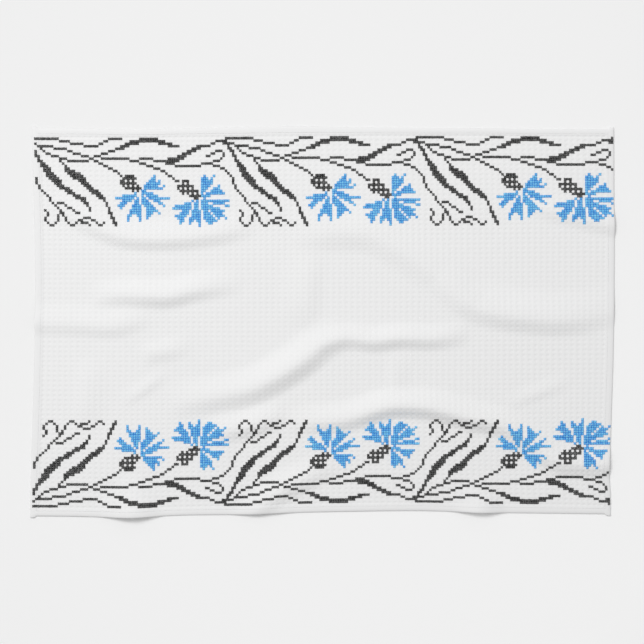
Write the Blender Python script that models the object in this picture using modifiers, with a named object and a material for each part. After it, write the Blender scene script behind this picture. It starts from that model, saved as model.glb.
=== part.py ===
"""A waffle-weave tea towel, laid out face up on a table.

The towel is one piece of cloth with a narrow turned hem on all four sides.
It was shaken out and laid down without ironing, so it keeps a set of soft
folds, and its front hem stands a little off the table in three places.

Run with: blender --background --python part.py
+X runs along the towel, +Y across it to its back edge, +Z up. The table is
at Z = 0.
"""

from collections import namedtuple

import bpy
import numpy as np

MM = 0.001

# The hemmed towel as it would measure when pulled flat. Its folds take up
# a few millimetres of the width where it lies.
CLOTH_LENGTH = 610 * MM
CLOTH_WIDTH = 413 * MM
BORDER_OUTER = 196.3 * MM  # from the middle of the flat towel to a border's outer row of stitches
BORDER_INNER = 105.8 * MM  # and to its inner end

CLOTH_THICKNESS = 2.0 * MM
HEM_THICKNESS = 3.2 * MM
SIDE_HEM = 7.0 * MM
LONG_HEM = 6.0 * MM
HEM_STEP = 1.5 * MM  # width of the slope from the hem down to the cloth
EAR = 2.0 * MM  # how far a side hem sticks out past the long edge at a corner

FIELD_COLUMNS = 70
FIELD_ROWS = 46
CREST_STEPS = 6  # between two points of a crest
SKIN = 0.02 * MM  # a rise under this is left out, so the cloth lies dead flat there

CLOTH_COLOUR = (0.86, 0.87, 0.87, 1.0)
CLOTH_ROUGHNESS = 0.9

# Where six weft threads of the laid towel lie, in mm: its two long edges, and
# the outer and inner rows of the border beside each. A row gives their y at
# one x. The border at the front is drawn in a little.
Weft = namedtuple("Weft", "x front front_outer front_inner back_inner back_outer back")

WEFTS = (
    Weft(-307, -203.7, -193.5, -105.1, 102.2, 192.2, 203.7),
    Weft(-260, -204.2, -193.7, -105.2, 102.0, 192.2, 203.3),
    Weft(-208, -205.3, -194.0, -105.3, 101.9, 192.2, 201.6),
    Weft(-145, -202.9, -192.7, -104.4, 101.4, 192.4, 203.1),
    Weft(-80, -202.1, -191.5, -104.4, 101.7, 192.9, 204.5),
    Weft(-28, -200.2, -189.8, -104.6, 102.1, 193.3, 205.5),
    Weft(33, -198.9, -188.9, -104.2, 102.5, 193.8, 204.3),
    Weft(108, -198.3, -188.5, -104.0, 102.9, 193.9, 203.7),
    Weft(160, -199.9, -189.3, -104.2, 103.1, 194.1, 203.3),
    Weft(222, -200.7, -190.0, -103.7, 103.9, 193.7, 202.5),
    Weft(307, -201.7, -191.1, -102.9, 104.5, 193.2, 202.3),
)

# Where its left and right edges lie, in mm. A row gives their x at one y.
Side = namedtuple("Side", "y left right")

SIDES = (
    Side(-206, -307.3, 300.8),
    Side(-161, -306.6, 300.9),
    Side(-100, -304.6, 302.0),
    Side(-43, -303.2, 303.8),
    Side(20, -302.0, 305.4),
    Side(76, -302.1, 306.4),
    Side(106, -302.8, 307.3),
    Side(140, -303.7, 306.0),
    Side(206, -305.6, 303.9),
)

# The folds of the laid towel, in mm. The crest runs smoothly through points
# of (x, y, rise above the table). The cloth comes back down within left_run
# on the left of the crest, looking from its start, and right_run on its right.
# A crest that ends with some rise left runs off the towel there.
Fold = namedtuple("Fold", "name left_run right_run crest")

FOLDS = (
    Fold("back arc", 24, 15, (
        (-282, 130, 0), (-250, 106, 3.2), (-212, 90, 5.4), (-166, 87, 5.8), (-112, 92, 4.4),
        (-70, 101, 0))),
    Fold("left bar", 22, 15, (
        (-246, 25, 0), (-215, 28, 4.2), (-181, 27, 6.2), (-160, 27, 6.6), (-129, 34, 4.8),
        (-84, 41, 0))),
    Fold("left rim", 24, 15, (
        (-308, -1, 2.8), (-255, -3, 3.3), (-231, -5, 3.5), (-208, -3, 3), (-180, 7, 0))),
    Fold("left dimple", 17, 14, (
        (-192, -38, 0), (-178, -33, 2.2), (-160, -30, 2.2), (-136, -24, 0))),
    Fold("left crease", 12, 9, (
        (-212, -86, 0), (-194, -75, 1.3), (-180, -65, 1.4), (-164, -52, 0))),
    Fold("left swell", 17, 26, (
        (-250, -114, 0), (-249, -90, 2), (-248, -62, 2), (-250, -38, 0))),
    Fold("long rise", 27, 20, (
        (-166, -87, 0), (-128, -81, 4), (-80, -72, 7), (-56, -62, 8.4), (-30, -47, 9.4),
        (-15, -36, 8.6), (2, -23, 5.2), (28, -14, 0))),
    Fold("long level", 18, 14, (
        (-12, -29, 0), (4, -22, 3.2), (26, -17, 6), (53, -20, 7), (81, -17, 7),
        (113, -18, 5.8), (135, -16, 3.2), (154, -14, 0))),
    Fold("back slope", 36, 23, (
        (-36, 90, 0), (-6, 93, 2.8), (16, 94, 4.2), (48, 92, 4.8), (76, 78, 4.8),
        (108, 57, 4.6), (133, 39, 3.3), (160, 16, 0))),
    Fold("right bar", 34, 20, (
        (118, 44, 0), (140, 26, 3.6), (158, 16, 5.8), (188, 8, 7), (219, 4, 7),
        (249, 2, 6), (278, 5, 3.8), (310, 13, 1.4))),
    Fold("front short", 20, 16, (
        (-124, -119, 0), (-100, -114, 3.6), (-76, -109, 5), (-58, -103, 3.8), (-36, -94, 0))),
    Fold("front arch", 22, 16, (
        (-42, -107, 0), (-10, -105, 3.6), (28, -101, 6.6), (60, -91, 8.6), (84, -88, 9.2),
        (118, -91, 9.2), (155, -101, 8.6), (188, -109, 6.6), (213, -123, 5.2), (233, -139, 6),
        (255, -148, 6.4), (306, -150, 5))),
    Fold("back right rim", 20, 15, (
        (212, 125, 0), (236, 119, 3), (257, 113, 3.8), (288, 105, 4.2), (312, 100, 4))),
    Fold("front slant", 22, 17, (
        (-84, -212, 2), (-64, -191, 4.6), (-40, -175, 5.6), (-10, -160, 3.6), (16, -146, 0))),
    Fold("middle swell", 34, 20, (
        (-20, -8, 0), (-17, 18, 2.6), (-16, 46, 2.6), (-16, 78, 0))),
    Fold("spur", 12, 22, (
        (76, -78, 0), (76, -64, 1.4), (75, -50, 1.4), (74, -32, 0))),
    Fold("right crease", 14, 10, (
        (192, -88, 0), (214, -79, 1.3), (236, -71, 1.3), (262, -60, 0))),
    Fold("front lift left", 38, 36, (
        (-199, -212, 9.8), (-202, -198, 7.6), (-208, -186, 4), (-220, -172, 0))),
    Fold("front lift right", 33, 31, (
        (166, -210, 9.2), (163, -196, 6.8), (158, -184, 3.2), (150, -168, 0))),
    Fold("front lift middle", 36, 30, (
        (-54, -212, 2.8), (-54, -198, 2.4), (-54, -188, 1.2), (-54, -176, 0))),
)


def through(knots, values, places):
    """A smooth curve through a row of values, one at each knot, read at some places."""
    slopes = np.gradient(values, knots)
    low = np.clip(np.searchsorted(knots, places) - 1, 0, len(knots) - 2)
    span = knots[low + 1] - knots[low]
    t = np.clip((places - knots[low]) / span, 0, 1)
    start, end = values[low], values[low + 1]
    leave, arrive = slopes[low] * span, slopes[low + 1] * span
    bend = 3 * (end - start) - 2 * leave - arrive
    twist = 2 * (start - end) + leave + arrive
    return start + t * (leave + t * (bend + t * twist))


def smooth(share):
    """0 to 1, level at both ends."""
    share = np.clip(share, 0, 1)
    return share * share * (3 - 2 * share)


def laid_out(across, up):
    """Where points of the flat towel lie on the table, seen from above."""
    sides = np.array(SIDES) * MM
    wefts = np.array(WEFTS) * MM
    left, right = (through(sides[:, 0], sides[:, n], up) for n in (1, 2))
    x = left + (right - left) * (across / CLOTH_LENGTH + 0.5)
    lines = [through(wefts[:, 0], wefts[:, n], across) for n in range(1, 7)]
    half = CLOTH_WIDTH / 2
    flat = (-half, -BORDER_OUTER, -BORDER_INNER, BORDER_INNER, BORDER_OUTER, half)
    y = lines[0]
    for low, high, start, end in zip(lines, lines[1:], flat, flat[1:]):
        y = y + (high - low) * np.clip((up - start) / (end - start), 0, 1)
    return x, y


def crest_points(fold):
    """Points (x, y, rise) close together along a fold's crest, in metres."""
    table = np.array(fold.crest) * MM
    knots = np.arange(len(table))
    places = np.linspace(0, knots[-1], CREST_STEPS * knots[-1] + 1)
    return np.column_stack([through(knots, column, places) for column in table.T])


def rise_of(fold, x, y):
    """How much one fold lifts the cloth at each point."""
    distance = np.full(x.shape, np.inf)
    crest_rise = np.zeros(x.shape)
    on_left = np.zeros(x.shape, bool)
    points = crest_points(fold)
    for a, b in zip(points, points[1:]):
        span = b - a
        share = ((x - a[0]) * span[0] + (y - a[1]) * span[1]) / (span[0] ** 2 + span[1] ** 2)
        share = np.clip(share, 0, 1)
        off_x = x - a[0] - share * span[0]
        off_y = y - a[1] - share * span[1]
        length = np.hypot(off_x, off_y)
        nearer = length < distance
        distance = np.where(nearer, length, distance)
        crest_rise = np.where(nearer, a[2] + share * span[2], crest_rise)
        on_left = np.where(nearer, span[0] * off_y > span[1] * off_x, on_left)
    run = np.where(on_left, fold.left_run, fold.right_run) * MM
    return np.maximum(crest_rise, 0) * smooth(1 - distance / run)


def rise_at(x, y):
    total = sum(rise_of(fold, x, y) for fold in FOLDS)
    return np.where(total > SKIN, total, 0)


def grid_lines(length, hem, count):
    """Places of the grid's lines along one side of the flat towel, with lines at the hem."""
    half = length / 2
    field = half - hem - HEM_STEP
    inner = np.linspace(-field, field, count + 1)
    return np.array([-half, -half + hem, *inner, half - hem, half])


def make_towel():
    """The underside of the towel as a sheet, with its hem marked in a vertex group."""
    columns = grid_lines(CLOTH_LENGTH, SIDE_HEM, FIELD_COLUMNS)
    rows = grid_lines(CLOTH_WIDTH, LONG_HEM, FIELD_ROWS)
    last_column = len(columns) - 1
    last_row = len(rows) - 1
    bpy.ops.mesh.primitive_grid_add(x_subdivisions=last_column, y_subdivisions=last_row, size=1)
    towel = bpy.context.object
    towel.name = "towel"

    mesh = towel.data
    places = np.empty(len(mesh.vertices) * 3)
    mesh.vertices.foreach_get("co", places)
    places = places.reshape(-1, 3)
    column = np.rint((places[:, 0] + 0.5) * last_column).astype(int)
    row = np.rint((places[:, 1] + 0.5) * last_row).astype(int)
    in_side_hem = np.minimum(column, last_column - column) < 2
    in_long_hem = np.minimum(row, last_row - row) < 2

    x, y = laid_out(columns[column], rows[row])
    z = rise_at(x, y)
    at_ear = in_side_hem & ((row == 0) | (row == last_row))
    y = y + np.where(at_ear, np.sign(y) * EAR, 0)
    mesh.vertices.foreach_set("co", np.column_stack([x, y, z]).ravel())

    hem = towel.vertex_groups.new(name="hem")
    hem.add(np.flatnonzero(in_side_hem | in_long_hem).tolist(), 1.0, "REPLACE")
    return towel


def thicken(towel):
    """Lays the towel's thickness on top of its underside, with more of it at the hem."""
    solidify = towel.modifiers.new("thickness", "SOLIDIFY")
    solidify.thickness = HEM_THICKNESS
    solidify.offset = 1.0
    solidify.vertex_group = "hem"
    solidify.thickness_vertex_group = CLOTH_THICKNESS / HEM_THICKNESS


def colour(towel):
    material = bpy.data.materials.new("waffle cloth")
    material.use_nodes = True
    shader = material.node_tree.nodes["Principled BSDF"]
    shader.inputs["Base Color"].default_value = CLOTH_COLOUR
    shader.inputs["Roughness"].default_value = CLOTH_ROUGHNESS
    shader.inputs["Metallic"].default_value = 0.0
    towel.data.materials.append(material)


def collect(towel):
    collection = bpy.data.collections.new("tea towel")
    bpy.context.scene.collection.children.link(collection)
    for old in list(towel.users_collection):
        old.objects.unlink(towel)
    collection.objects.link(towel)


def main():
    for old in list(bpy.data.objects):
        bpy.data.objects.remove(old, do_unlink=True)
    towel = make_towel()
    thicken(towel)
    colour(towel)
    collect(towel)


main()
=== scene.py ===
from collections import namedtuple

import bpy
import numpy as np
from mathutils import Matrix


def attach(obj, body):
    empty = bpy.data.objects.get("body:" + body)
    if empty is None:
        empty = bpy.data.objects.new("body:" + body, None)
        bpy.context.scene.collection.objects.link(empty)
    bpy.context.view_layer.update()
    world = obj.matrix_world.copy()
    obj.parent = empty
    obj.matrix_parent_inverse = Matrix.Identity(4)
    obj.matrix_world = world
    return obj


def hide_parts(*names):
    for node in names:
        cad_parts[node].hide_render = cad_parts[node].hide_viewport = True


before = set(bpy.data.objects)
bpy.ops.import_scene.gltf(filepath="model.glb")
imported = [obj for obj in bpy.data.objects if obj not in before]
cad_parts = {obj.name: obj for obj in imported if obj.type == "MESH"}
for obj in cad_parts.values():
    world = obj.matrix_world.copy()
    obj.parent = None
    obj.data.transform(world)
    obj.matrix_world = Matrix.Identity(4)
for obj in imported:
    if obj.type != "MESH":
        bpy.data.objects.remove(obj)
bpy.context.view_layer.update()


# The cloth
# One sheet of white cotton, woven in waffle cells and turned under once on all
# four sides as a narrow hem. It was shaken out and laid down unironed, so it
# keeps soft folds, and its front hem stands a little off the table.
MM = 0.001

CLOTH_LENGTH = 610 * MM  # hemmed, pulled flat
CLOTH_WIDTH = 413 * MM
BORDER_OUTER = 196.3 * MM  # from the middle of the flat towel to a border's outer row of stitches
BORDER_INNER = 105.8 * MM  # and to its inner end
WARP_SPREAD = 0.9998  # the warps lie straight and almost as far apart as when flat
FRONT_SHIFT = -0.8 * MM  # how far the warps of the front border lie off along X
SIDE_RUN = 45.0 * MM  # within this of a side edge they bend to follow it

CLOTH_THICKNESS = 2.0 * MM
HEM_THICKNESS = 2.25 * MM
SIDE_HEM = 7.0 * MM
LONG_HEM = 6.0 * MM
HEM_STEP = 3.2 * MM  # width of the slope from the hem down to the cloth
EAR = 2.0 * MM  # how far a side hem sticks out past the long edge at a corner
EAR_RUN = 9.0 * MM  # how far along the side hem it fades
SKIN = 0.02 * MM  # a smaller rise than this is none

CELLS_ALONG = 93
CELLS_ACROSS = 77
CELL_LENGTH = (CLOTH_LENGTH - 2 * SIDE_HEM) / CELLS_ALONG
CELL_WIDTH = (CLOTH_WIDTH - 2 * LONG_HEM) / CELLS_ACROSS
PIT = 0.5 * MM  # depth of a cell below its ridges
SADDLE = 0.16 * MM  # the ridges along the towel stand this much above those across it
UNDER_PIT = 0.3 * MM

RIM = 3.6 * MM  # width of the rounding along the folded edge of the hem
RIM_HEIGHT = 1.4 * MM
HEM_CROWN = 0.15 * MM  # the hem is a little fuller between its edge and its sewing
SEWING_INSET = 0.6 * MM  # from the hem's inner edge to its row of sewing
GROOVE = 0.08 * MM  # how far the sewing draws the cloth in
GROOVE_WIDTH = 0.9 * MM

# Where six weft threads of the laid towel lie, in mm: its two long edges, and
# the outer and inner rows of the border beside each. A row gives their y at
# one x. The border at the front is drawn in a little.
Weft = namedtuple("Weft", "x front front_outer front_inner back_inner back_outer back")

WEFTS = (
    Weft(-307, -203.7, -193.5, -105.1, 102.2, 192.2, 203.7),
    Weft(-260, -204.2, -193.7, -105.2, 102.0, 192.2, 203.3),
    Weft(-208, -205.3, -194.0, -105.3, 101.9, 192.2, 201.6),
    Weft(-145, -202.9, -192.7, -104.4, 101.4, 192.4, 203.1),
    Weft(-80, -202.1, -191.5, -104.4, 101.7, 192.9, 204.5),
    Weft(-28, -200.2, -189.8, -104.6, 102.1, 193.3, 205.5),
    Weft(33, -198.9, -188.9, -104.2, 102.5, 193.8, 204.3),
    Weft(108, -198.3, -188.5, -104.0, 102.9, 193.9, 203.7),
    Weft(160, -199.9, -189.3, -104.2, 103.1, 194.1, 203.3),
    Weft(222, -200.7, -190.0, -103.7, 103.9, 193.7, 202.5),
    Weft(307, -201.7, -191.1, -102.9, 104.5, 193.2, 202.3),
)

# Where its left and right edges lie, in mm.
Edge = namedtuple("Edge", "y x")

LEFT_EDGE = (
    Edge(-206, -307.3),
    Edge(-161, -306.6),
    Edge(-100, -304.6),
    Edge(-43, -303.2),
    Edge(20, -302.0),
    Edge(76, -302.1),
    Edge(106, -302.8),
    Edge(140, -303.7),
    Edge(206, -305.6),
)

RIGHT_EDGE = (
    Edge(-206, 302.4),
    Edge(-190, 302.5),
    Edge(-155, 300.7),
    Edge(-132, 302.3),
    Edge(-100, 303.2),
    Edge(-43, 305.0),
    Edge(20, 305.9),
    Edge(76, 306.4),
    Edge(140, 306.0),
    Edge(206, 305.8),
)

# The folds of the laid towel, in mm. The crest runs smoothly through points
# of (x, y, rise above the table). The cloth comes back down within left_run
# on the left of the crest, looking from its start, and right_run on its right.
# A crest that ends with some rise left runs off the towel there.
Fold = namedtuple("Fold", "name left_run right_run crest")

FOLDS = (
    Fold("back arc", 24, 15, (
        (-282, 130, 0), (-250, 106, 3.2), (-212, 90, 5.4), (-166, 87, 5.8), (-112, 92, 4.4),
        (-70, 101, 0))),
    Fold("left bar", 22, 15, (
        (-246, 25, 0), (-215, 28, 4.2), (-181, 27, 6.2), (-160, 27, 6.6), (-129, 34, 4.8),
        (-84, 41, 0))),
    Fold("left rim", 24, 15, (
        (-308, -1, 2.8), (-255, -3, 3.3), (-231, -5, 3.5), (-208, -3, 3), (-180, 7, 0))),
    Fold("left dimple", 17, 14, (
        (-192, -38, 0), (-178, -33, 2.2), (-160, -30, 2.2), (-136, -24, 0))),
    Fold("left crease", 12, 9, (
        (-212, -86, 0), (-194, -75, 1.3), (-180, -65, 1.4), (-164, -52, 0))),
    Fold("left swell", 17, 26, (
        (-250, -114, 0), (-249, -90, 2), (-248, -62, 2), (-250, -38, 0))),
    Fold("long rise", 27, 20, (
        (-166, -87, 0), (-128, -81, 4), (-80, -72, 7), (-56, -62, 8.4), (-30, -47, 9.4),
        (-15, -36, 8.6), (2, -23, 5.2), (28, -14, 0))),
    Fold("long level", 18, 14, (
        (-12, -29, 0), (4, -22, 3.2), (26, -17, 6), (53, -20, 7), (81, -17, 7),
        (113, -18, 5.8), (135, -16, 3.2), (154, -14, 0))),
    Fold("back slope", 36, 23, (
        (-36, 90, 0), (-6, 93, 2.8), (16, 94, 4.2), (48, 92, 4.8), (76, 78, 4.8),
        (108, 57, 4.6), (133, 39, 3.3), (160, 16, 0))),
    Fold("right bar", 34, 20, (
        (118, 44, 0), (140, 26, 3.6), (158, 16, 5.8), (188, 8, 7), (219, 4, 7),
        (249, 2, 6), (278, 5, 3.8), (310, 13, 1.4))),
    Fold("front short", 20, 16, (
        (-124, -119, 0), (-100, -114, 3.6), (-76, -109, 5), (-58, -103, 3.8), (-36, -94, 0))),
    Fold("front arch", 22, 16, (
        (-42, -107, 0), (-10, -105, 3.6), (28, -101, 6.6), (60, -91, 8.6), (84, -88, 9.2),
        (118, -91, 9.2), (155, -101, 8.6), (188, -109, 6.6), (213, -123, 5.2), (233, -139, 6),
        (255, -148, 6.4), (306, -150, 5))),
    Fold("back right rim", 20, 15, (
        (212, 125, 0), (236, 119, 3), (257, 113, 3.8), (288, 105, 4.2), (312, 100, 4))),
    Fold("front slant", 22, 17, (
        (-84, -212, 2), (-64, -191, 4.6), (-40, -175, 5.6), (-10, -160, 3.6), (16, -146, 0))),
    Fold("middle swell", 34, 20, (
        (-20, -8, 0), (-17, 18, 2.6), (-16, 46, 2.6), (-16, 78, 0))),
    Fold("spur", 12, 22, (
        (76, -78, 0), (76, -64, 1.4), (75, -50, 1.4), (74, -32, 0))),
    Fold("right crease", 14, 10, (
        (192, -88, 0), (214, -79, 1.3), (236, -71, 1.3), (262, -60, 0))),
    Fold("front lift left", 38, 36, (
        (-199, -212, 9.8), (-202, -198, 7.6), (-208, -186, 4), (-220, -172, 0))),
    Fold("front lift right", 33, 31, (
        (166, -210, 9.2), (163, -196, 6.8), (158, -184, 3.2), (150, -168, 0))),
    Fold("front lift middle", 36, 30, (
        (-54, -212, 2.8), (-54, -198, 2.4), (-54, -188, 1.2), (-54, -176, 0))),
)
CREST_STEPS = 6  # between two points of a crest


def through(knots, values, places):
    """A smooth curve through a row of values, one at each knot, read at some places."""
    slopes = np.gradient(values, knots)
    low = np.clip(np.searchsorted(knots, places) - 1, 0, len(knots) - 2)
    span = knots[low + 1] - knots[low]
    t = np.clip((places - knots[low]) / span, 0, 1)
    start, end = values[low], values[low + 1]
    leave, arrive = slopes[low] * span, slopes[low + 1] * span
    bend = 3 * (end - start) - 2 * leave - arrive
    twist = 2 * (start - end) + leave + arrive
    return start + t * (leave + t * (bend + t * twist))


def smooth(share):
    """0 to 1, level at both ends."""
    share = np.clip(share, 0, 1)
    return share * share * (3 - 2 * share)


def inset(across, up):
    """How far points of the flat towel lie in from its side edges and from its long edges."""
    return CLOTH_LENGTH / 2 - np.abs(across), CLOTH_WIDTH / 2 - np.abs(up)


def laid_out(across, up):
    """Where points of the flat towel lie on the table, seen from above."""
    left, right = (through(*(np.array(table) * MM).T, up) for table in (LEFT_EDGE, RIGHT_EDGE))
    half = CLOTH_LENGTH / 2
    shift = np.interp(up, (-BORDER_INNER, BORDER_INNER), (FRONT_SHIFT, 0))
    x = across * WARP_SPREAD + shift
    x = x + (left - shift + half * WARP_SPREAD) * smooth(1 - (half + across) / SIDE_RUN)
    x = x + (right - shift - half * WARP_SPREAD) * smooth(1 - (half - across) / SIDE_RUN)

    wefts = np.array(WEFTS) * MM
    lines = [through(wefts[:, 0], wefts[:, n], across) for n in range(1, wefts.shape[1])]
    long_edge = CLOTH_WIDTH / 2
    places = (-long_edge, -BORDER_OUTER, -BORDER_INNER, BORDER_INNER, BORDER_OUTER, long_edge)
    y = lines[0]
    for low, high, start, end in zip(lines, lines[1:], places, places[1:]):
        y = y + (high - low) * np.clip((up - start) / (end - start), 0, 1)
    from_side, from_end = inset(across, up)
    ear = smooth(1 - (from_side - SIDE_HEM + HEM_STEP) / HEM_STEP) * smooth(1 - from_end / EAR_RUN)
    return x, y + np.sign(up) * EAR * ear


def crest_points(fold):
    """Points (x, y, rise) close together along a fold's crest, in metres."""
    table = np.array(fold.crest) * MM
    knots = np.arange(len(table))
    places = np.linspace(0, knots[-1], CREST_STEPS * knots[-1] + 1)
    return np.column_stack([through(knots, column, places) for column in table.T])


def rise_of(fold, x, y):
    """How much one fold lifts the cloth at each point."""
    distance = np.full(x.shape, np.inf)
    crest_rise = np.zeros(x.shape)
    on_left = np.zeros(x.shape, bool)
    points = crest_points(fold)
    for a, b in zip(points, points[1:]):
        span = b - a
        share = ((x - a[0]) * span[0] + (y - a[1]) * span[1]) / (span[0] ** 2 + span[1] ** 2)
        share = np.clip(share, 0, 1)
        off_x = x - a[0] - share * span[0]
        off_y = y - a[1] - share * span[1]
        length = np.hypot(off_x, off_y)
        nearer = length < distance
        distance = np.where(nearer, length, distance)
        crest_rise = np.where(nearer, a[2] + share * span[2], crest_rise)
        on_left = np.where(nearer, span[0] * off_y > span[1] * off_x, on_left)
    run = np.where(on_left, fold.left_run, fold.right_run) * MM
    return np.maximum(crest_rise, 0) * smooth(1 - distance / run)


def rise_at(x, y):
    """How much all the folds together lift the cloth at each point."""
    total = sum(rise_of(fold, x, y) for fold in FOLDS)
    return np.where(total > SKIN, total, 0)


def hem_share(across, up):
    """1 on the turned hem, falling to 0 on the open cloth."""
    from_side, from_end = inset(across, up)
    side = 1 - smooth((from_side - SIDE_HEM) / HEM_STEP)
    end = 1 - smooth((from_end - LONG_HEM) / HEM_STEP)
    return np.maximum(side, end)


def draw_in(across, up):
    """How far the row of sewing draws the cloth in."""
    from_side, from_end = inset(across, up)
    side = np.exp(-((from_side - SIDE_HEM + SEWING_INSET) / GROOVE_WIDTH) ** 2)
    end = np.exp(-((from_end - LONG_HEM + SEWING_INSET) / GROOVE_WIDTH) ** 2)
    side = side * smooth((from_end - LONG_HEM + SEWING_INSET) / GROOVE_WIDTH + 1)
    end = end * smooth((from_side - SIDE_HEM + SEWING_INSET) / GROOVE_WIDTH + 1)
    return GROOVE * np.maximum(side, end)


def waffle(across, up):
    """Waves that cross 0 at the ridges of the cells: along the towel, and across it."""
    from_left = (across + CLOTH_LENGTH / 2 - SIDE_HEM) / CELL_LENGTH
    from_front = (up + CLOTH_WIDTH / 2 - LONG_HEM) / CELL_WIDTH
    return np.sin(np.pi * from_left) ** 2, np.sin(np.pi * from_front) ** 2


def right_side(across, up):
    """Height of the cloth's right side above what it lies on."""
    from_side, from_end = inset(across, up)
    hem = hem_share(across, up)
    along, over = waffle(across, up)
    relief = SADDLE / 2 * (along - over) - PIT * along * over
    crown = np.minimum(from_side / SIDE_HEM, from_end / LONG_HEM)
    thickness = CLOTH_THICKNESS + (HEM_THICKNESS - CLOTH_THICKNESS) * hem
    thickness = thickness + (1 - hem) * relief - draw_in(across, up)
    thickness = thickness + HEM_CROWN * np.sin(np.pi * np.clip(crown, 0, 1))
    turn = 1 - np.clip(np.minimum(from_side, from_end) / RIM, 0, 1)
    return RIM_HEIGHT + (thickness - RIM_HEIGHT) * np.sqrt(1 - turn ** 2)


def wrong_side(across, up):
    """Height of the cloth's wrong side above what it lies on."""
    from_side, from_end = inset(across, up)
    along, over = waffle(across, up)
    relief = UNDER_PIT * (1 - along) * (1 - over) * (1 - hem_share(across, up))
    turn = 1 - np.clip(np.minimum(from_side, from_end) / RIM, 0, 1)
    return RIM_HEIGHT * (1 - np.sqrt(1 - turn ** 2)) + relief + draw_in(across, up)


def on_towel(across, up, height, side=right_side):
    """Points at some height over one side of the laid towel."""
    x, y = laid_out(across, up)
    return np.column_stack([x, y, rise_at(x, y) + side(across, up) + height])


# The cloth's mesh has two lines to a waffle cell, and closer ones at the rim
# and hem, given as distances in mm from the edge.
SIDE_LINES = (0, 0.3, 1.0, 2.0, 3.4, 5.0, 5.8, 6.4, 7.0, 7.8, 8.6, 9.4, 10.2)
LONG_LINES = (0, 0.3, 1.0, 2.0, 3.2, 4.2, 4.9, 5.4, 6.0, 6.8, 7.7, 8.6, 9.4)


def cloth_lines(length, hem, cell, cells, edge_lines):
    """Places of the mesh's lines along one direction of the flat cloth."""
    edge = length / 2 - np.array(edge_lines) * MM
    field = length / 2 - hem - cell / 2 * np.arange(2, 2 * cells - 1)
    return np.concatenate([-edge, field[::-1], edge[::-1]])


def quads(grid):
    """Faces over a grid of vertex numbers, its columns along +X, with their right side up."""
    corners = [grid[:-1, :-1], grid[1:, :-1], grid[1:, 1:], grid[:-1, 1:]]
    return np.stack(corners, -1).reshape(-1, 4)


def add_piece(name, places, faces):
    """A new piece from its points and faces."""
    mesh = bpy.data.meshes.new(name)
    mesh.from_pydata(places.tolist(), [], faces.tolist())
    mesh.shade_smooth()
    piece = bpy.data.objects.new(name, mesh)
    bpy.context.scene.collection.objects.link(piece)
    return piece


def add_map(piece, name, pairs):
    """A UV map that gives each of the piece's points a pair of numbers."""
    mesh = piece.data
    corners = np.empty(len(mesh.loops), int)
    mesh.loops.foreach_get("vertex_index", corners)
    layer = mesh.uv_layers.new(name=name)
    layer.data.foreach_set("uv", pairs[corners].ravel())


def add_values(piece, name, values):
    """A number for each of the piece's points."""
    piece.data.attributes.new(name, "FLOAT", "POINT").data.foreach_set("value", values)


columns = cloth_lines(CLOTH_LENGTH, SIDE_HEM, CELL_LENGTH, CELLS_ALONG, SIDE_LINES)
rows = cloth_lines(CLOTH_WIDTH, LONG_HEM, CELL_WIDTH, CELLS_ACROSS, LONG_LINES)
across, up = (values.ravel() for values in np.meshgrid(columns, rows, indexing="ij"))
right_places = on_towel(across, up, 0)
wrong_places = on_towel(across, up, 0, wrong_side)

right_grid = np.arange(len(across)).reshape(len(columns), len(rows))
inside = np.zeros(right_grid.shape, bool)
inside[1:-1, 1:-1] = True
wrong_grid = right_grid.copy()
wrong_grid[inside] = len(across) + np.arange(inside.sum())
cloth = add_piece(
    "towel_cloth",
    np.concatenate([right_places, wrong_places[inside.ravel()]]),
    np.concatenate([quads(right_grid), quads(wrong_grid)[:, ::-1]]),
)
flat_places = np.column_stack([across, up])
flat_places = np.concatenate([flat_places, flat_places[inside.ravel()]])
add_map(cloth, "flat", flat_places)
add_values(cloth, "hem", hem_share(*flat_places.T))


class Nodes:
    """A new material and a short way to add nodes to it."""

    def __init__(self, name):
        self.material = bpy.data.materials.new(name)
        self.material.use_nodes = True
        self.tree = self.material.node_tree
        self.shader = self.tree.nodes["Principled BSDF"]

    def feed(self, socket, value):
        """Links a socket to another, or sets its value."""
        if isinstance(value, bpy.types.NodeSocket):
            self.tree.links.new(value, socket)
        else:
            socket.default_value = value

    def give(self, name, value):
        """Feeds a socket of the shader."""
        self.feed(self.shader.inputs[name], value)

    def add(self, kind, inputs=(), **settings):
        made = self.tree.nodes.new(kind)
        for key, value in settings.items():
            setattr(made, key, value)
        for key, value in dict(inputs).items():
            self.feed(made.inputs[key], value)
        return made

    def work_out(self, operation, first, second=0.0, third=0.0):
        """A number from one, two or three others."""
        made = self.add("ShaderNodeMath", {0: first, 1: second, 2: third}, operation=operation)
        return made.outputs[0]

    def mix(self, share, low, high):
        """A number between two others."""
        return self.add("ShaderNodeMix", {0: share, 2: low, 3: high}, data_type="FLOAT").outputs[0]

    def blend(self, share, low, high):
        """A colour between two others."""
        made = self.add("ShaderNodeMix", {0: share, 6: low, 7: high}, data_type="RGBA")
        return made.outputs[2]

    def noise(self, where, scale, detail):
        """Soft random spots, so many to a metre."""
        made = self.add("ShaderNodeTexNoise", {"Vector": where, "Scale": scale, "Detail": detail})
        return made.outputs[0]

    def bump(self, height):
        """Shades the surface as if it had this height, in metres."""
        made = self.add("ShaderNodeBump", {"Height": height, "Distance": 1.0, "Strength": 1.0})
        self.give("Normal", made.outputs[0])


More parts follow.
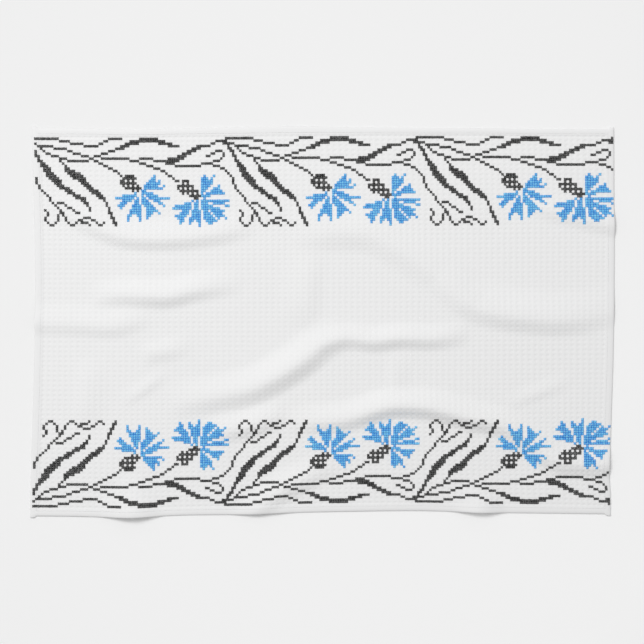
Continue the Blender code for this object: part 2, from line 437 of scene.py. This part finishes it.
CLOTH_TINT = (0.88, 0.88, 0.88, 1.0)
CLOTH_SHADE_TINT = (0.84, 0.842, 0.845, 1.0)
HEM_TINT = (0.855, 0.855, 0.856, 1.0)
WEFT_YARNS = 9  # to a cell, and so many warps
WARP_YARNS = 10
WEFT_PITCH = CELL_WIDTH / WEFT_YARNS
WARP_PITCH = CELL_LENGTH / WARP_YARNS
WAFFLE_SHADING = 0.36 * MM  # depth that the bump gives a cell
RIDGE_SHADING = -0.05 * MM  # of ridges along the towel over those across it
YARN_RELIEF = 0.05 * MM
FUZZ_RELIEF = 0.04 * MM
FUZZ_SCALE = 1400  # spots to a metre
FUZZ_DETAIL = 3.0
PATCH_SCALE = 14.0
PATCH_DETAIL = 4.0
# Random patches of tone move the cloth's tint towards its shade tint. On top of them sits painted
# light: yarn tops are painted lighter, and painted shade lies between the yarns and in the pits of the
# cells.
PATCH_SHADE = 0.5  # how far patches, yarns and pits take the tint to its shade
YARN_PAINTED_LIGHT = -0.3
PIT_PAINTED_SHADE = 0.05
CLOTH_ROUGHNESS = 0.86
FUZZ_ROUGHNESS = 0.12
CLOTH_SHINE = 0.25
CLOTH_SHEEN = 0.12
SHEEN_ROUGHNESS = 0.5


def wave(nodes, place, pitch):
    """1 on the top of each yarn or cell, 0 between two of them."""
    turned = nodes.work_out("COSINE", nodes.work_out("MULTIPLY", place, 2 * np.pi / pitch))
    return nodes.work_out("MULTIPLY_ADD", turned, 0.5, 0.5)


nodes = Nodes("white waffle cotton")
flat_map = nodes.add("ShaderNodeUVMap", uv_map="flat").outputs[0]
split = nodes.add("ShaderNodeSeparateXYZ", {0: flat_map})
along = nodes.work_out("ADD", split.outputs[0], CLOTH_LENGTH / 2 - SIDE_HEM)
over = nodes.work_out("ADD", split.outputs[1], CLOTH_WIDTH / 2 - LONG_HEM)
hem = nodes.add("ShaderNodeAttribute", attribute_name="hem").outputs["Fac"]
open_cloth = nodes.work_out("SUBTRACT", 1.0, hem)

# On a ridge along the towel weft yarns float, on one across it warp yarns do,
# and the floor of a cell and the hem are plain weave.
ridge_along = nodes.work_out("MULTIPLY", wave(nodes, over, CELL_WIDTH), open_cloth)
ridge_across = nodes.work_out("MULTIPLY", wave(nodes, along, CELL_LENGTH), open_cloth)
weft = wave(nodes, over, WEFT_PITCH)
warp = wave(nodes, along, WARP_PITCH)
plain = nodes.work_out("MULTIPLY", weft, warp)
yarns = nodes.mix(ridge_across, plain, warp)
yarns = nodes.mix(ridge_along, yarns, weft)
fuzz = nodes.noise(flat_map, FUZZ_SCALE, FUZZ_DETAIL)
height = nodes.work_out("MULTIPLY", yarns, YARN_RELIEF)
height = nodes.work_out("MULTIPLY_ADD", fuzz, FUZZ_RELIEF, height)
pit_along = nodes.work_out("SUBTRACT", 1.0, wave(nodes, along, CELL_LENGTH))
pit_over = nodes.work_out("SUBTRACT", 1.0, wave(nodes, over, CELL_WIDTH))
pit = nodes.work_out("MULTIPLY", nodes.work_out("MULTIPLY", pit_along, pit_over), open_cloth)
saddle = nodes.work_out("MULTIPLY", nodes.work_out("SUBTRACT", pit_along, pit_over), open_cloth)
height = nodes.work_out("MULTIPLY_ADD", pit, -WAFFLE_SHADING, height)
height = nodes.work_out("MULTIPLY_ADD", saddle, RIDGE_SHADING / 2, height)
nodes.bump(height)

patches = nodes.noise(flat_map, PATCH_SCALE, PATCH_DETAIL)
# Painted highlights on the yarn tops and painted shade between the yarns and in the cell pits, over
# random patches of tone.
shade = nodes.work_out("MULTIPLY", yarns, YARN_PAINTED_LIGHT)
shade = nodes.work_out("MULTIPLY_ADD", patches, PATCH_SHADE, shade)
shade = nodes.work_out("MULTIPLY_ADD", pit, PIT_PAINTED_SHADE, shade)
tint = nodes.blend(shade, CLOTH_TINT, CLOTH_SHADE_TINT)
nodes.give("Base Color", nodes.blend(hem, tint, HEM_TINT))
nodes.give("Roughness", nodes.work_out("MULTIPLY_ADD", fuzz, FUZZ_ROUGHNESS, CLOTH_ROUGHNESS))
nodes.give("Specular IOR Level", CLOTH_SHINE)
nodes.give("Sheen Weight", CLOTH_SHEEN)
nodes.give("Sheen Roughness", SHEEN_ROUGHNESS)
cloth.data.materials.append(nodes.material)

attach(cloth, "root")
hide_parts("towel")


# The hem's sewing
# One row of white cotton lockstitch along the inner edge of the hem, on the
# right side and the wrong side. It sits in the groove that it draws in.
STITCH_LENGTH = 2.6 * MM
STITCH_PITCH = 3.0 * MM
SEWING_THICKNESS = 0.45 * MM
RIGHT_LIFT = 0.1 * MM  # of a stitch's middle over the cloth's right side
WRONG_LIFT = 0.15 * MM  # and above its wrong side, so that most of it lies inside the cloth
SEWING_SLANT = 0.03  # spread of the slants of its stitches
SEWING_SEED = 7
STRAND_SIDES = 6
STRAND_RINGS = 4
BLUNT_RINGS = (0.1, 0.4)  # the rings that are made blunter lie between these, on a ball 1 wide
BLUNT_GIRTH = 1.3  # the ends of a strand are blunter than a ball's
BLUNT_REACH = 1.15
SEWING_TINT = (0.9, 0.9, 0.9, 1.0)
SEWING_SHADE_TINT = (0.8, 0.8, 0.805, 1.0)
SEWING_PLY = 0.35 * MM
SEWING_PLY_RELIEF = 0.04 * MM
SEWING_ROUGHNESS = 0.7
SEWING_SHEEN = 0.1


def strand_points(length, width, thickness):
    """A short strand of thread along X, fuller in the middle: its points and its faces."""
    for other in bpy.context.selected_objects:
        other.select_set(False)
    bpy.ops.mesh.primitive_uv_sphere_add(segments=STRAND_SIDES, ring_count=STRAND_RINGS, radius=0.5)
    strand = bpy.context.object
    for vertex in strand.data.vertices:
        vertex.select = BLUNT_RINGS[0] < abs(vertex.co.z) < BLUNT_RINGS[1]
    for face in strand.data.polygons:
        face.select = False
    bpy.ops.object.mode_set(mode="EDIT")
    bpy.ops.mesh.select_mode(type="VERT")
    bpy.ops.transform.resize(value=(BLUNT_GIRTH, BLUNT_GIRTH, BLUNT_REACH), center_override=(0, 0, 0))
    bpy.ops.mesh.select_all(action="SELECT")
    bpy.ops.transform.rotate(value=np.pi / 2, orient_axis="Y", center_override=(0, 0, 0))
    bpy.ops.transform.resize(value=(length, width, thickness), center_override=(0, 0, 0))
    bpy.ops.mesh.quads_convert_to_tris()
    bpy.ops.mesh.normals_make_consistent(inside=False)
    bpy.ops.object.mode_set(mode="OBJECT")
    points = np.array([list(vertex.co) for vertex in strand.data.vertices])
    faces = np.array([list(face.vertices) for face in strand.data.polygons])
    bpy.data.objects.remove(strand, do_unlink=True)
    return points, faces


def copies(faces, points, count):
    """Faces of several copies of a shape that follow each other."""
    return (faces[None] + points * np.arange(count)[:, None, None]).reshape(-1, faces.shape[1])


def sewing_row(from_side, from_end):
    """Middles and turns of the stitches round the towel, at these insets."""
    half_length = CLOTH_LENGTH / 2 - from_side
    half_width = CLOTH_WIDTH / 2 - from_end
    long_side = np.arange(-half_length + STITCH_PITCH / 2, half_length, STITCH_PITCH)
    short_side = np.arange(-half_width + STITCH_PITCH / 2, half_width, STITCH_PITCH)
    middles = [(u, v, 0) for v in (-half_width, half_width) for u in long_side]
    middles += [(u, v, 1) for u in (-half_length, half_length) for v in short_side]
    return np.array(middles)


random = np.random.default_rng(SEWING_SEED)
strand, strand_faces = strand_points(STITCH_LENGTH, SEWING_THICKNESS, SEWING_THICKNESS)
row = sewing_row(SIDE_HEM - SEWING_INSET, LONG_HEM - SEWING_INSET)
row_places = []
row_maps = []
for side, lift in ((right_side, RIGHT_LIFT), (wrong_side, WRONG_LIFT)):
    turned = row[:, 2, None] > 0
    slant = random.normal(0, SEWING_SLANT, (len(row), 1))
    away = strand[None, :, 0] * slant + strand[None, :, 1]
    u = row[:, 0, None] + np.where(turned, away, strand[None, :, 0])
    v = row[:, 1, None] + np.where(turned, strand[None, :, 0], away)
    height = np.broadcast_to(strand[None, :, 2] + lift, u.shape)
    row_places.append(on_towel(u.ravel(), v.ravel(), height.ravel(), side))
    row_maps.append(np.tile(strand[:, :2], (len(row), 1)))
stitch_count = 2 * len(row)
sewing = add_piece(
    "hem_sewing", np.concatenate(row_places), copies(strand_faces, len(strand), stitch_count)
)
add_map(sewing, "strand", np.concatenate(row_maps))

# A strand is painted lighter in its middle and painted darker towards its ends, as painted shade where
# they go into the cloth. Its ply tops are painted lighter and the gaps between plies darker.
MIDDLE_SHADE = 0.4  # how light a strand is in its middle, from its shade tint to its tint
END_PAINTED_SHADE = 0.9  # how much less at its ends
PLY_PAINTED_LIGHT = 0.3
PLY_SLANT = 1.6  # how far a ply runs along its strand for each step across
FLECK_SHADE = 0.5
FLECK_SCALE = 900.0  # flecks to a metre
FLECK_DETAIL = 2.0
FLECK_ROUGHNESS = 0.15
WORN_SHADE = 0.16
THREAD_SHINE = 0.2


def thread_material(name, tint, shade_tint, length, ply, relief, roughness, sheen):
    """Spun thread: plies twist along each strand. It has painted highlights on its plies and painted
    shade between them and where its ends go in.
    """
    nodes = Nodes(name)
    strand_map = nodes.add("ShaderNodeUVMap", uv_map="strand").outputs[0]
    split = nodes.add("ShaderNodeSeparateXYZ", {0: strand_map})
    slanted = nodes.work_out("MULTIPLY_ADD", split.outputs[1], PLY_SLANT, split.outputs[0])
    plies = wave(nodes, slanted, ply)
    where = nodes.add("ShaderNodeTexCoord").outputs["Object"]
    fleck = nodes.noise(where, FLECK_SCALE, FLECK_DETAIL)
    # Painted shade towards the strand's ends, and painted highlights on its plies.
    from_middle = nodes.work_out("MULTIPLY", split.outputs[0], 2 / length)
    squared = nodes.work_out("MULTIPLY", from_middle, from_middle)
    share = nodes.work_out("MULTIPLY", squared, -END_PAINTED_SHADE)
    share = nodes.work_out("ADD", share, MIDDLE_SHADE)
    share = nodes.work_out("MULTIPLY_ADD", plies, PLY_PAINTED_LIGHT, share)
    share = nodes.work_out("MULTIPLY_ADD", fleck, FLECK_SHADE, share)
    worn = nodes.add("ShaderNodeAttribute", attribute_name="shade").outputs["Fac"]
    share = nodes.work_out("MULTIPLY_ADD", worn, WORN_SHADE, share)
    nodes.bump(nodes.work_out("MULTIPLY", plies, relief))
    nodes.give("Base Color", nodes.blend(share, shade_tint, tint))
    nodes.give("Roughness", nodes.work_out("MULTIPLY_ADD", fleck, FLECK_ROUGHNESS, roughness))
    nodes.give("Specular IOR Level", THREAD_SHINE)
    nodes.give("Sheen Weight", sheen)
    return nodes.material


sewing_thread = thread_material(
    "white sewing thread", SEWING_TINT, SEWING_SHADE_TINT, STITCH_LENGTH, SEWING_PLY,
    SEWING_PLY_RELIEF, SEWING_ROUGHNESS, SEWING_SHEEN)
sewing.data.materials.append(sewing_thread)
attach(sewing, "root")


# The cross-stitched borders
# A band of cornflowers, leaves and curling stems along each long side, worked
# in counted cross-stitch in charcoal and sky blue cotton. The front band is
# the back one turned over, so the flowers of both face the middle.
REPEAT = 80  # stitches along the towel after which the pattern starts again
ROWS = 36  # rows of stitches in a band, from its outer row
ROWS_TO_INNER = 34.75  # from the middle of the outer row to the inner end of the band
ROW_PITCH = (BORDER_OUTER - BORDER_INNER) / ROWS_TO_INNER
FIRST_COLUMN = 3
LAST_COLUMN = 240
BARE = 0
CHARCOAL = 1
BLUE = 2

# Where a few columns start along the flat towel, in mm. The others lie evenly
# between them.
Column = namedtuple("Column", "number start")

COLUMNS = (
    Column(3, -302.9),
    Column(23, -245.6),
    Column(220, 247.7),
    Column(236, 291.9),
    Column(241, 304.2),
)

# The chart is drawn on the repeat, in stitches, from the outer row inwards.
# A vine is a line one stitch wide through points of (column, row). A leaf runs
# through points of (column, row, width). A petal fans out from the heart of its
# flower: it starts some way out, and its outline gives how far it reaches at
# each angle. A gap is a bare line between two petals.
VINES = (
    ((0, 0.5), (9, 0.5), (12, 1), (16, 2), (21, 3), (24, 3.5), (27, 3), (29, 2), (31, 1),
     (33, 0.5), (36.9, 0.5)),
    ((0.5, 2.4), (4, 3), (10, 4), (15, 5), (17, 6), (20, 7), (23, 8), (27, 10), (35, 14), (36.6, 15.6)),
    ((5.4, 4.2), (6.6, 5.6), (7.6, 6.3), (9.6, 6.9), (11.8, 7.8), (12.4, 8.4), (15, 9), (19, 9.5),
     (23, 9), (25, 8), (28, 7), (31, 6), (34, 5), (37, 4)),
    ((28, 8.4), (32, 8.5), (38, 8.5), (40, 9), (42, 9.5), (44, 9), (47, 8.4), (50, 9),
     (52, 9.5), (56, 9.6)),
    ((43.5, 9.6), (44.4, 10), (47, 11), (50, 12), (52.6, 12.7), (54.6, 13.6), (55.4, 14.4),
     (56.4, 15.2), (57.8, 15.7), (58.5, 16.5), (59.4, 17.3), (60.9, 17.5)),
    ((59, 11.5), (65, 11.6), (70, 11), (72.5, 10.5), (75, 10), (78, 9), (79.4, 8), (79.6, 6.8),
     (78.4, 5.5), (76, 5.9), (74, 7), (72, 7.6)),
    ((75, 11.3), (78, 12), (80, 13), (83, 16), (83.6, 18), (84.4, 20), (85.5, 22), (88.5, 25.5),
     (91.5, 28.5), (92.4, 30), (93.5, 31.6), (94.4, 33), (95.5, 34.5), (97.5, 35.6), (98.8, 34.3),
     (101, 33), (102.5, 32.5), (104, 33), (106, 34), (107, 35), (108.5, 35.6), (109.9, 34.4)),
    ((100.5, 34.4), (102.9, 34.6), (103.9, 35.4)),
    ((6.5, 29.4), (7.5, 30.5), (7.4, 31.6), (6.5, 32.6), (6.7, 33.9), (8, 35.3), (9.8, 35.4),
     (10.7, 34), (11.4, 32), (12.2, 30.5)),
    ((10.5, 27), (11, 26.5), (13.9, 26.5), (15, 28), (17, 29), (18, 30), (19.9, 30.5)),
)

LEAVES = (
    ((1.4, 3.5, 1.1), (2.5, 5, 1.1), (3.9, 7.3, 1.4), (5.1, 9.6, 1.6), (6.5, 11.9, 2.1),
     (8.2, 14.2, 2.9), (10.2, 17, 2.9), (12, 18.7, 2.4), (14, 20.4, 1.9), (16.2, 22, 1.8),
     (18.6, 23.7, 1.8), (20.7, 25, 1.9), (22, 26.6, 1.4), (23.1, 28.2, 1.1), (23.5, 29.5, 1.1)),
    ((12.4, 9.4, 1), (13.5, 10.5, 1), (14.4, 11.6, 1.2), (14.6, 12.6, 1.8), (15.4, 13.6, 2.4),
     (17.2, 14.8, 3.1), (18.5, 15.4, 3.3), (20.3, 17.1, 3), (22.2, 19.2, 2.5), (24.3, 21, 2.2),
     (26.5, 22.8, 2.1), (28.6, 24.3, 1.6), (29.6, 25.6, 1.1), (30.5, 27.2, 1.1), (31.6, 29.5, 1.1),
     (32.6, 31.5, 1.1), (33.6, 33.5, 1.1), (34.6, 35.5, 1.1)),
    ((36.4, 3.9, 1.2), (38.5, 3.1, 1.6), (41.6, 2.1, 1.9), (45, 1.2, 1.9), (48, 1.0, 1.9),
     (51, 1.2, 1.9), (53.2, 1.9, 1.7), (56.5, 2.8, 1.4), (60.5, 3.5, 1.1)),
    ((55.3, 9.8, 1.8), (57.3, 9.5, 2.5), (60.8, 8.3, 2.1), (63.4, 7, 2), (65.9, 5.5, 1.8),
     (68.3, 4.2, 1.7), (70.5, 3.5, 1.2), (73.9, 3.1, 1.1), (75.5, 2.2, 1.1), (78.3, 1.5, 1.2),
     (79.6, 1.8, 1.8), (80.6, 1.9, 1.8), (81.5, 2.5, 1.2)),
)

Petal = namedtuple("Petal", "start outline")

FIRST_FLOWER = (45.2, 22.6)  # its heart
FIRST_PETALS = (
    Petal(0, ((-80, 2), (-70, 2.2), (-66, 5), (-54, 9.2), (-47, 7.8), (-39, 7.7), (-35, 9.2),
              (-29, 8.6), (-26, 7.2), (-21, 8.3), (-18.4, 10.1), (-14, 8.8), (-12, 9.2))),
    Petal(0, ((-7, 4.6), (0, 4.8), (5, 5.6), (7.5, 6.7), (9.5, 12), (13, 9.2), (15, 7.8), (22, 8.3),
              (28, 11), (30, 7.5), (31, 6))),
    Petal(0, ((46, 10.6), (48, 11.2), (53, 9.2), (61, 9.4), (69, 9.8), (77, 10.7), (78.5, 6.5),
              (86, 5))),
    Petal(1.6, ((92, 10.4), (94.5, 11.4), (101, 9.4), (106, 8.8), (113, 9.2), (118, 12.8),
                (124, 10.8), (129, 6), (134, 4.2))),
    Petal(2, ((144.8, 10.7), (149, 10.2), (153, 11.4), (158, 9), (162, 8.6), (167, 9.6), (170, 11.5),
              (172.5, 8.4), (174, 8.2), (179, 4), (183, 3.2))),
)
SECOND_FLOWER = (70.3, 24.2)
SECOND_PETALS = (
    Petal(0, ((-93, 8), (-87, 8.4), (-82, 9.4), (-76, 8.4), (-68, 7.8), (-60, 10.6), (-55, 8),
              (-52, 7))),
    Petal(0, ((-44, 3.5), (-38.5, 4), (-36, 7.2), (-33, 9.2), (-27, 8.8), (-18, 9.2), (-10, 10))),
    Petal(0, ((2, 9), (7, 12), (11, 10.2), (14, 9.8), (17, 12.5), (20, 8), (24, 5.8))),
    Petal(1.7, ((28, 9), (30, 11), (34, 9.8), (39, 13.7), (43, 10.8), (49, 11.4), (52, 8), (54, 6))),
    Petal(0.5, ((56, 12), (62, 10.6), (68, 11.6), (73, 11.3), (77, 10.1), (84, 8.8), (92, 4.4))),
    Petal(2.1, ((93, 11), (95, 12), (99, 10), (103, 9.9), (107, 9.3), (112, 10.4), (115.5, 12),
                (120, 10.4), (124, 7), (136, 4), (146, 3.7))),
    Petal(3.9, ((129.6, 13), (130.5, 14), (133, 13.3), (142, 13.3), (146, 13.4), (147.3, 11.4),
                (149, 10.1), (154, 10), (158, 11.9), (160.2, 13), (163.1, 11.7), (163.5, 7.9),
                (164.8, 4.8))),
)

# A calyx gives the first and last column of each of its rows, and its bare stitches.
FIRST_CALYX = (
    (15, 38, 41), (16, 37, 42), (17, 36, 41), (18, 36, 42), (19, 37, 43), (20, 38, 44), (21, 41, 43),
)
FIRST_BARE = ((38, 17), (40, 17), (38, 19), (40, 19), (42, 19), (42, 21))
SECOND_CALYX = (
    (17, 62, 64), (18, 62, 64), (19, 60, 66), (20, 60, 66), (21, 61, 68), (22, 62, 68), (23, 65, 69),
    (24, 67, 68),
)
SECOND_BARE = ((63, 18), (61, 20), (63, 20), (65, 20), (63, 22), (65, 22), (67, 22))

GAPS = (
    ((47.5, 21.5), (55, 21.5)),
    ((46.5, 23.5), (47.4, 24.3), (48.6, 24.8), (49.4, 26), (51.5, 27.9)),
    ((44.5, 24.2), (44.5, 26.9), (45.5, 27.2), (45.5, 34)),
    ((42.5, 24.4), (41.5, 25.4), (40.6, 26.2), (39.3, 26.7)),
    ((71.5, 22.5), (72.6, 21.4), (73.6, 20.4), (75, 18.5)),
    ((72.4, 24.5), (82, 24.5)),
    ((73.2, 26.5), (74.6, 26.6), (75.5, 27.5), (79.9, 27.5)),
    ((73.5, 29.5), (76.6, 32.6)),
    ((69.5, 25), (69.6, 28.6), (70.5, 29.4), (70.5, 34)),
    ((66.5, 26.2), (66.4, 28.6), (65.5, 29.4), (65.4, 31.8)),
)


SPINE_STEPS = 8  # places to a stitch along a curve
DRAWN_COLUMNS = range(-4, REPEAT + 10)  # a leaf or petal may run past an end of the repeat
FIRST_ANGLE = -120  # the least that a petal's outline may start at, in degrees


def spine(points):
    """Places close together on a smooth curve through some points."""
    table = np.array(points, float)
    steps = np.hypot(*np.diff(table[:, :2], axis=0).T)
    knots = np.concatenate([[0], np.cumsum(steps)])
    places = np.linspace(0, knots[-1], int(knots[-1] * SPINE_STEPS) + 2)
    return np.column_stack([through(knots, column, places) for column in table.T])


def chart_line(chart, points, colour):
    """Works a line one stitch wide, without a stitch at its inner corners."""
    cells = []
    for column, row in spine(points):
        cell = (int(np.floor(column)), int(np.floor(row)))
        if not cells or cells[-1] != cell:
            cells.append(cell)
    kept = []
    for n, cell in enumerate(cells):
        corner = False
        if 0 < n < len(cells) - 1:
            before, after = kept[-1], cells[n + 1]
            corner = abs(before[0] - after[0]) == 1 and abs(before[1] - after[1]) == 1
        if not corner:
            kept.append(cell)
    for column, row in kept:
        if 0 <= row < ROWS:
            chart[row, column % REPEAT] = colour


def chart_leaf(chart, points):
    """Fills a leaf or a thick stem."""
    middle = spine(points)
    for column in DRAWN_COLUMNS:
        for row in range(ROWS):
            away = np.hypot(middle[:, 0] - column - 0.5, middle[:, 1] - row - 0.5)
            nearest = np.argmin(away)
            if away[nearest] <= middle[nearest, 2] / 2:
                chart[row, column % REPEAT] = CHARCOAL


def chart_calyx(chart, spans, bare):
    """Fills rows from one column to another, and leaves some stitches in them bare."""
    for row, first, last in spans:
        chart[row, first:last + 1] = CHARCOAL
    for column, row in bare:
        chart[row, column] = BARE


def chart_petals(chart, heart, petals):
    """Fills the petals of one flower. Angles go from +column towards the inner rows."""
    for start, outline in petals:
        angles, reaches = np.array(outline, float).T
        for column in DRAWN_COLUMNS:
            for row in range(ROWS):
                right = column + 0.5 - heart[0]
                down = row + 0.5 - heart[1]
                away = np.hypot(right, down)
                angle = np.degrees(np.arctan2(down, right))
                if angle < FIRST_ANGLE:
                    angle += 360
                within = start < away < np.interp(angle, angles, reaches)
                if within and angles[0] <= angle <= angles[-1]:
                    chart[row, column % REPEAT] = BLUE


chart = np.full((ROWS, REPEAT), BARE)
chart_petals(chart, FIRST_FLOWER, FIRST_PETALS)
chart_petals(chart, SECOND_FLOWER, SECOND_PETALS)
for gap in GAPS:
    chart_line(chart, gap, BARE)
for leaf in LEAVES:
    chart_leaf(chart, leaf)
for vine in VINES:
    chart_line(chart, vine, CHARCOAL)
chart_calyx(chart, FIRST_CALYX, FIRST_BARE)
chart_calyx(chart, SECOND_CALYX, SECOND_BARE)

# Each stitch is two strands that cross, the upper one bowed over the lower.
STRAND_LENGTH = 0.88  # of the diagonal of a stitch
STRAND_WIDTH = 1.5 * MM
STRAND_THICKNESS = 0.9 * MM
STRAND_LIFT = 0.1 * MM  # of a strand's middle above the cloth
UPPER_BOW = 0.4 * MM
TURN_SPREAD = 0.05  # random differences between strands
LENGTH_SPREAD = 0.03
GIRTH_SPREAD = 0.05
PLACE_SPREAD = 0.05 * MM
BORDER_SEED = 23


def work_border(name, colour, front, random):
    """All stitches of one colour in one band."""
    starts = np.interp(np.arange(LAST_COLUMN + 2), *np.array(COLUMNS).T) * MM
    columns = np.arange(FIRST_COLUMN, LAST_COLUMN + 1)
    rows, picked = np.nonzero(chart[:, columns % REPEAT] == colour)
    columns = columns[picked]
    middle_u = (starts[columns] + starts[columns + 1]) / 2
    width = starts[columns + 1] - starts[columns]
    middle_v = BORDER_OUTER - ROW_PITCH * rows
    if front:
        middle_v = -middle_v
    count = len(rows)
    points, faces = strand_points(1, 1, 1)
    shade = random.normal(0, 1, count)
    places = []
    maps = []
    for upper in (False, True):
        turn = np.arctan2(ROW_PITCH, width) * (1 if upper == front else -1)
        turn = turn + random.normal(0, TURN_SPREAD, count)
        length = np.hypot(ROW_PITCH, width) * STRAND_LENGTH * random.normal(1, LENGTH_SPREAD, count)
        thick = random.normal(1, GIRTH_SPREAD, count)
        along = points[None, :, 0] * length[:, None]
        aside = points[None, :, 1] * STRAND_WIDTH * thick[:, None]
        cosine, sine = np.cos(turn)[:, None], np.sin(turn)[:, None]
        shift = random.normal(0, PLACE_SPREAD, (2, count, 1))
        u = middle_u[:, None] + along * cosine - aside * sine + shift[0]
        v = middle_v[:, None] + along * sine + aside * cosine + shift[1]
        height = points[None, :, 2] * STRAND_THICKNESS * thick[:, None] + STRAND_LIFT
        if upper:
            height = height + UPPER_BOW * (1 - (2 * points[None, :, 0]) ** 2)
        places.append(on_towel(u.ravel(), v.ravel(), height.ravel()))
        maps.append(np.column_stack([along.ravel(), aside.ravel()]))
    piece = add_piece(name, np.concatenate(places), copies(faces, len(points), 2 * count))
    add_map(piece, "strand", np.concatenate(maps))
    add_values(piece, "shade", np.tile(np.repeat(shade, len(points)), 2))
    return piece


CHARCOAL_TINT = (0.15, 0.15, 0.15, 1.0)
CHARCOAL_SHADE_TINT = (0.008, 0.008, 0.008, 1.0)
BLUE_TINT = (0.25, 0.7, 1.0, 1.0)
BLUE_SHADE_TINT = (0.04, 0.31, 0.84, 1.0)
PAINTED_SHADE_LENGTH = 3.2 * MM  # about a strand's own, for the shade along it
BORDER_PLY = 0.5 * MM
BORDER_PLY_RELIEF = 0.07 * MM
BORDER_ROUGHNESS = 0.6
BORDER_SHEEN = 0.06

charcoal_thread, blue_thread = (
    thread_material(
        name, tint, shade_tint, PAINTED_SHADE_LENGTH, BORDER_PLY, BORDER_PLY_RELIEF, BORDER_ROUGHNESS,
        BORDER_SHEEN)
    for name, tint, shade_tint in (
        ("charcoal stranded cotton", CHARCOAL_TINT, CHARCOAL_SHADE_TINT),
        ("sky blue stranded cotton", BLUE_TINT, BLUE_SHADE_TINT),
    )
)

random = np.random.default_rng(BORDER_SEED)
for name, colour, front, material, thread_slot in (
    ("border_back_charcoal", CHARCOAL, False, charcoal_thread, "charcoal_thread"),
    ("border_back_blue", BLUE, False, blue_thread, "blue_thread"),
    ("border_front_charcoal", CHARCOAL, True, charcoal_thread, "charcoal_thread"),
    ("border_front_blue", BLUE, True, blue_thread, "blue_thread"),
):
    border = work_border(name, colour, front, random)
    border.data.materials.append(material)
    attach(border, "root")


# The floor, the lights and the camera
# A pale seamless table top, a large soft light from the back left with an even
# room round it, and a camera straight above the towel.
FLOOR_SIZE = 6.0
FLOOR_DROP = 0.2 * MM
# The table top is painted darker towards the key light and lighter away from it, against the key's
# fall-off, so that it looks evenly lit.
FLOOR_TINTS = (0.76, 1.0)  # towards the key light and away from it
FLOOR_SLOPE = (0.44, -0.65)  # share of the way between them, a metre along X and Y
FLOOR_MIDDLE = 0.66
FLOOR_ROUGHNESS = 0.9
FLOOR_SHINE = 0.1

for other in bpy.context.selected_objects:
    other.select_set(False)
bpy.ops.mesh.primitive_plane_add(size=FLOOR_SIZE, location=(0, 0, -FLOOR_DROP))
floor = bpy.context.object
floor.name = "table_top"
nodes = Nodes("pale table top")
where = nodes.add("ShaderNodeTexCoord").outputs["Object"]
split = nodes.add("ShaderNodeSeparateXYZ", {0: where})
share = nodes.work_out("MULTIPLY_ADD", split.outputs[0], FLOOR_SLOPE[0], FLOOR_MIDDLE)
share = nodes.work_out("MULTIPLY_ADD", split.outputs[1], FLOOR_SLOPE[1], share)
near, far = ((tint, tint, tint, 1.0) for tint in FLOOR_TINTS)
nodes.give("Base Color", nodes.blend(share, near, far))
nodes.give("Roughness", FLOOR_ROUGHNESS)
nodes.give("Specular IOR Level", FLOOR_SHINE)
floor.data.materials.append(nodes.material)

ROOM_LIGHT = 0.51
KEY_POWER = 48.2
KEY_SIZE = 1.1
KEY_PLACE = (-0.83, 1.23, 2.64)
CAMERA_LENS = 100
CAMERA_SENSOR = 36
CAMERA_PLACE = (-0.00079, -0.00015, 1.8805)

scene = bpy.context.scene
world = bpy.data.worlds.new("even room")
world.use_nodes = True
world.node_tree.nodes["Background"].inputs["Color"].default_value = (1, 1, 1, 1)
world.node_tree.nodes["Background"].inputs["Strength"].default_value = ROOM_LIGHT
scene.world = world

key = bpy.data.objects.new("key", bpy.data.lights.new("key", "AREA"))
key.data.energy = KEY_POWER
key.data.size = KEY_SIZE
key.location = KEY_PLACE
key.rotation_euler = (-key.location).to_track_quat("-Z", "Y").to_euler()
scene.collection.objects.link(key)

camera = bpy.data.objects.new("camera", bpy.data.cameras.new("camera"))
camera.data.lens = CAMERA_LENS
camera.data.sensor_width = CAMERA_SENSOR
camera.location = CAMERA_PLACE
scene.collection.objects.link(camera)
scene.camera = camera
scene.view_settings.view_transform = "Standard"
